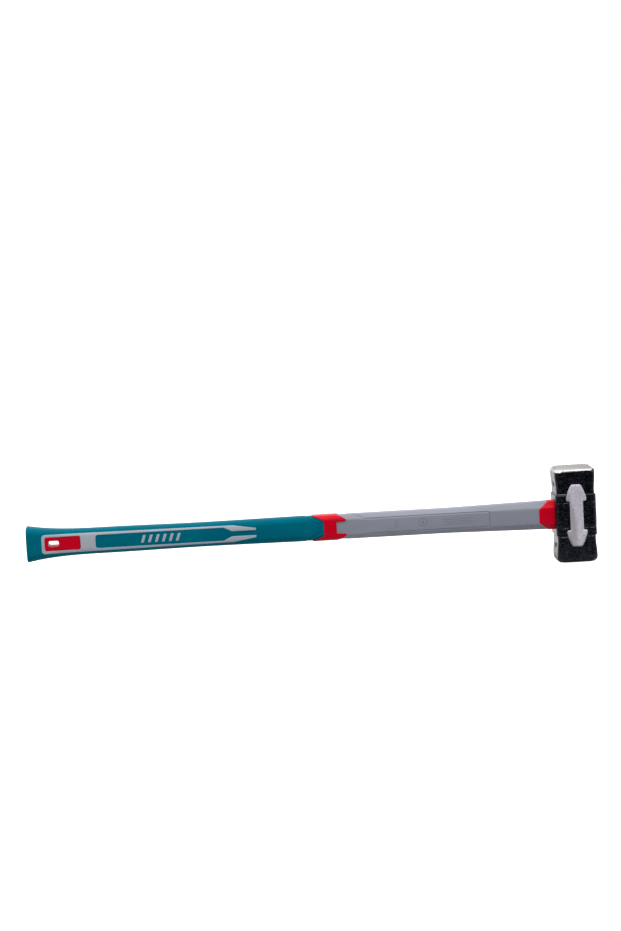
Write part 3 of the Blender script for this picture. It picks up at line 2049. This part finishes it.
@dataclass
class CheekPlate:
    """A bone-shaped plate on one cheek, with a sloped rim around a raised middle."""

    head: Head
    side: Side
    half_len: float = 49.5
    lobe_half: float = 16.2
    tip_half: float = 8.4
    neck_half: float = 10.5
    neck_half_len: float = 23.0
    rim: float = 2.4
    height: float = 1.8
    foot: float = 0.4
    cell: float = 2.5

    def outline(self) -> Line:
        """The plate's outline as (x, height over the axis) points, all the way round.

        Returns:
            The points.
        """
        quarter = [
            (self.neck_half, 0.0),
            (self.neck_half, self.neck_half_len - 1.6),
            (self.neck_half + 0.5, self.neck_half_len - 0.6),
            (self.neck_half + 1.4, self.neck_half_len - 0.1),
            (self.lobe_half - 2.2, self.neck_half_len),
            (self.lobe_half - 1.0, self.neck_half_len + 0.5),
            (self.lobe_half - 0.2, self.neck_half_len + 1.8),
            (self.lobe_half, self.neck_half_len + 3.6),
            (self.lobe_half - 1.3, self.neck_half_len + 9.5),
            (self.lobe_half - 3.2, self.neck_half_len + 15.5),
            (self.lobe_half - 5.6, self.neck_half_len + 21.0),
            (self.tip_half + 0.7, self.half_len - 2.8),
            (self.tip_half - 0.6, self.half_len - 0.9),
            (self.tip_half - 2.6, self.half_len),
        ]
        upper = quarter + [(-x, up) for x, up in reversed(quarter)]
        return upper + [(x, -up) for x, up in reversed(upper[1:-1])]

    def build(self, material: Material) -> None:
        """Builds the plate flat, cuts it into small cells and lays it on the cheek.

        Args:
            material: Its finish.
        """
        bm = bmesh.new()
        corners = [bm.verts.new((x, 0, up)) for x, up in self.outline()]
        face = bm.faces.new(corners)
        bmesh.ops.extrude_face_region(bm, geom=[face])
        bm.normal_update()
        bmesh.ops.inset_region(bm, faces=[face], thickness=self.rim, depth=0, use_even_offset=True)
        for vert in face.verts:
            vert.co.y = 1.0
        for axis, limit in ((Vector((1, 0, 0)), self.lobe_half), (Vector((0, 0, 1)), self.half_len)):
            steps = int(limit / self.cell)
            for k in range(-steps, steps + 1):
                cut = axis * (k * self.cell)
                everything = list(bm.verts) + list(bm.edges) + list(bm.faces)
                bmesh.ops.bisect_plane(bm, geom=everything, plane_co=cut, plane_no=axis, dist=1e-5)
        top = self.head.half + self.head.band_rise + self.height
        for vert in bm.verts:
            z = self.head.mid_z + vert.co.z
            edge = self.head.flat(z) + self.head.cheek_ridge(z) + self.foot
            vert.co = Vector((vert.co.x, self.side.value * (edge + vert.co.y * (top - edge)), z))
        wall(bm, lambda co: Vector((co.x, self.side.value * (self.head.half - 1), co.z)))
        node = f"cheek_plate_{self.side.name.lower()}"
        finish_piece(bm, f"{node}_body", material, Slot.PLATE, [node], crease=16)


# ---- Core, epoxy and gasket ----


@dataclass
class CoreParts:
    """The CAD nodes that keep their shape and only take a finish."""

    def dress(self, name: str, material: Material) -> None:
        """Gives a CAD node its finish.

        Args:
            name: The CAD node.
            material: Its finish.
        """
        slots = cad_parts[name].data.materials
        slots.clear()
        slots.append(material)
        LOG.info("%s: dressed", name)

    def build(self) -> None:
        """Dresses the core, the epoxy and the gasket."""
        self.dress("fibreglass_core", SawnFibreglass().make())
        self.dress("eye_epoxy", CastEpoxy().make())
        self.dress("neck_gasket", GasketRubber().make())


# ---- Studio ----


@dataclass
class Studio:
    """The pale floor, the soft lights and the camera."""

    mid_z: float
    target: tuple[float, float, float] = (-415.6, 0.0, 175.25)
    distance: float = 3959.4
    yaw: float = 2.259
    pitch: float = 6.184
    roll: float = -2.975
    view_height: float = 931.0
    focal_length: float = 2500.0
    sensor: float = 36.0
    front_glow: float = 0.16
    back_glow: float = 0.65
    top_glow: float = 1.5
    floor_glow: tuple[float, float] = (0.0, 0.45)
    floor_shade: tuple[float, float] = (0.04, 0.42)
    key_power: float = 20.0

    def camera(self) -> None:
        """Places the camera."""
        yaw, pitch, roll = (math.radians(a) for a in (self.yaw, self.pitch, self.roll))
        level = math.cos(pitch)
        back = Vector((-math.sin(yaw) * level, -math.cos(yaw) * level, math.sin(pitch)))
        right = Vector((0, 0, 1)).cross(back).normalized()
        up = back.cross(right)
        turned_right = right * math.cos(roll) + up * math.sin(roll)
        turned_up = up * math.cos(roll) - right * math.sin(roll)
        data = bpy.data.cameras.new("camera")
        data.sensor_width = self.sensor
        data.lens = self.sensor * self.focal_length / self.view_height
        data.clip_end = 60
        camera = bpy.data.objects.new("camera", data)
        turn = Matrix((turned_right, turned_up, back)).transposed().to_4x4()
        place = (Vector(self.target) + back * self.distance) * MM
        camera.matrix_world = Matrix.Translation(place) @ turn
        bpy.context.scene.collection.objects.link(camera)
        bpy.context.scene.camera = camera

    def area_light(
        self, name: str, place: Vector, aim: Vector, size: tuple[float, float], power: float
    ) -> None:
        """Adds a soft rectangular light.

        Args:
            name: Name of the light.
            place: Where it hangs, in metres.
            aim: The point that it faces.
            size: Its width and height in metres.
            power: Its power in watts.
        """
        data = bpy.data.lights.new(name, "AREA")
        data.shape = "RECTANGLE"
        data.size, data.size_y = size
        data.energy = power
        light = bpy.data.objects.new(name, data)
        light.location = place
        light.rotation_euler = (aim - place).to_track_quat("-Z", "Y").to_euler()
        bpy.context.scene.collection.objects.link(light)

    def sky(self) -> None:
        """Surrounds the hammer with soft light, dimmer low down in front than overhead and behind."""
        world = bpy.data.worlds.new("studio")
        bpy.context.scene.world = world
        n = Nodes.of_tree(world)
        direction = n.add("ShaderNodeTexCoord").outputs["Generated"]
        split = n.add("ShaderNodeSeparateXYZ")
        n.link(direction, split.inputs[0])
        height = n.remap(split.outputs["Z"], 0.02, 0.75, 0, 1)
        behind = n.remap(split.outputs["Y"], 0.0, 0.75, self.front_glow, self.back_glow)
        strength = n.either(height, behind, self.top_glow)
        soft, seen = n.add("ShaderNodeBackground"), n.add("ShaderNodeBackground")
        n.link(strength, soft.inputs["Strength"])
        n.feed(soft.inputs["Color"], (1, 1, 1, 1))
        n.feed(seen.inputs["Color"], (1, 1, 1, 1))
        mix = n.add("ShaderNodeMixShader")
        n.link(n.add("ShaderNodeLightPath").outputs["Is Camera Ray"], mix.inputs["Fac"])
        n.link(soft.outputs[0], mix.inputs[1])
        n.link(seen.outputs[0], mix.inputs[2])
        n.link(mix.outputs[0], n.tree.nodes["World Output"].inputs["Surface"])

    def floor(self) -> None:
        """Lays the pale floor under the head, bright enough to show no shadow."""
        bm = bmesh.new()
        bmesh.ops.create_circle(bm, cap_ends=True, segments=96, radius=25)
        mesh = bpy.data.meshes.new("floor")
        bm.to_mesh(mesh)
        bm.free()
        floor = bpy.data.objects.new("floor", mesh)
        bpy.context.scene.collection.objects.link(floor)
        n = Nodes("pale_floor")
        y = n.axis("Y")
        near, far = ((shade,) * 3 for shade in self.floor_shade)
        n.set(Base_Color=n.mix(n.remap(y, -0.45, -0.05, 0, 1), near, far), Roughness=0.9)
        n.set(Specular_IOR_Level=0.0, Emission_Color=(1, 1, 1, 1))
        glow = n.remap(y, -0.1, 0.25, *self.floor_glow)
        seen = n.add("ShaderNodeLightPath").outputs["Is Camera Ray"]
        n.set(Emission_Strength=n.larger(glow, seen))
        mesh.materials.append(n.material)

    def build(self) -> None:
        """Sets up the whole studio."""
        self.camera()
        self.sky()
        middle = Vector((-0.42, 0, 0.08))
        self.area_light("key", Vector((-0.6, -1.2, 2.3)), middle, (2.4, 1.4), self.key_power)
        self.floor()
        bpy.context.scene.view_settings.view_transform = "Standard"


def main() -> None:
    """Builds the hammer piece by piece, and the studio around it."""
    logging.basicConfig(level=logging.INFO, format="%(message)s")
    shape = HandleShape.from_frame()
    trim = GripTrim()
    head_low, head_high = node_box("head")
    Studio(shape.mid_z).build()

    red = MouldedPlastic(
        "red_plastic", (0.67, 0.0, 0.018), (0.59, 0.0, 0.014), 0.3, sheen=(1.0, 0.2, 0.28)
    ).make()
    grey = MarkedPlastic("grey_plastic", (0.27, 0.28, 0.34), (0.25, 0.26, 0.315), 0.5).make()
    pale_grey = MouldedPlastic("frame_plastic", (0.38, 0.44, 0.51), (0.39, 0.42, 0.48), 0.5).make()

    head = Head(shape.mid_z, head_high.z - head_low.z)
    head.build(ForgedLacquer(head.length).make())
    paint = PlatePaint().make()
    for side in Side:
        CheekPlate(head, side).build(paint)
    Grip(shape, trim).build(SoftRubber().make())
    jacket = Jacket(shape, trim)
    jacket.build_shaft(grey)
    for side in Side:
        jacket.build_frame(side, pale_grey)
        jacket.build_bars(side, pale_grey)
    HangInsert(shape, trim).build(red)
    collars = Collars(shape)
    collars.build_mid(red)
    collars.build_neck(red)
    CoreParts().build()


if __name__ == "__main__":
    main()
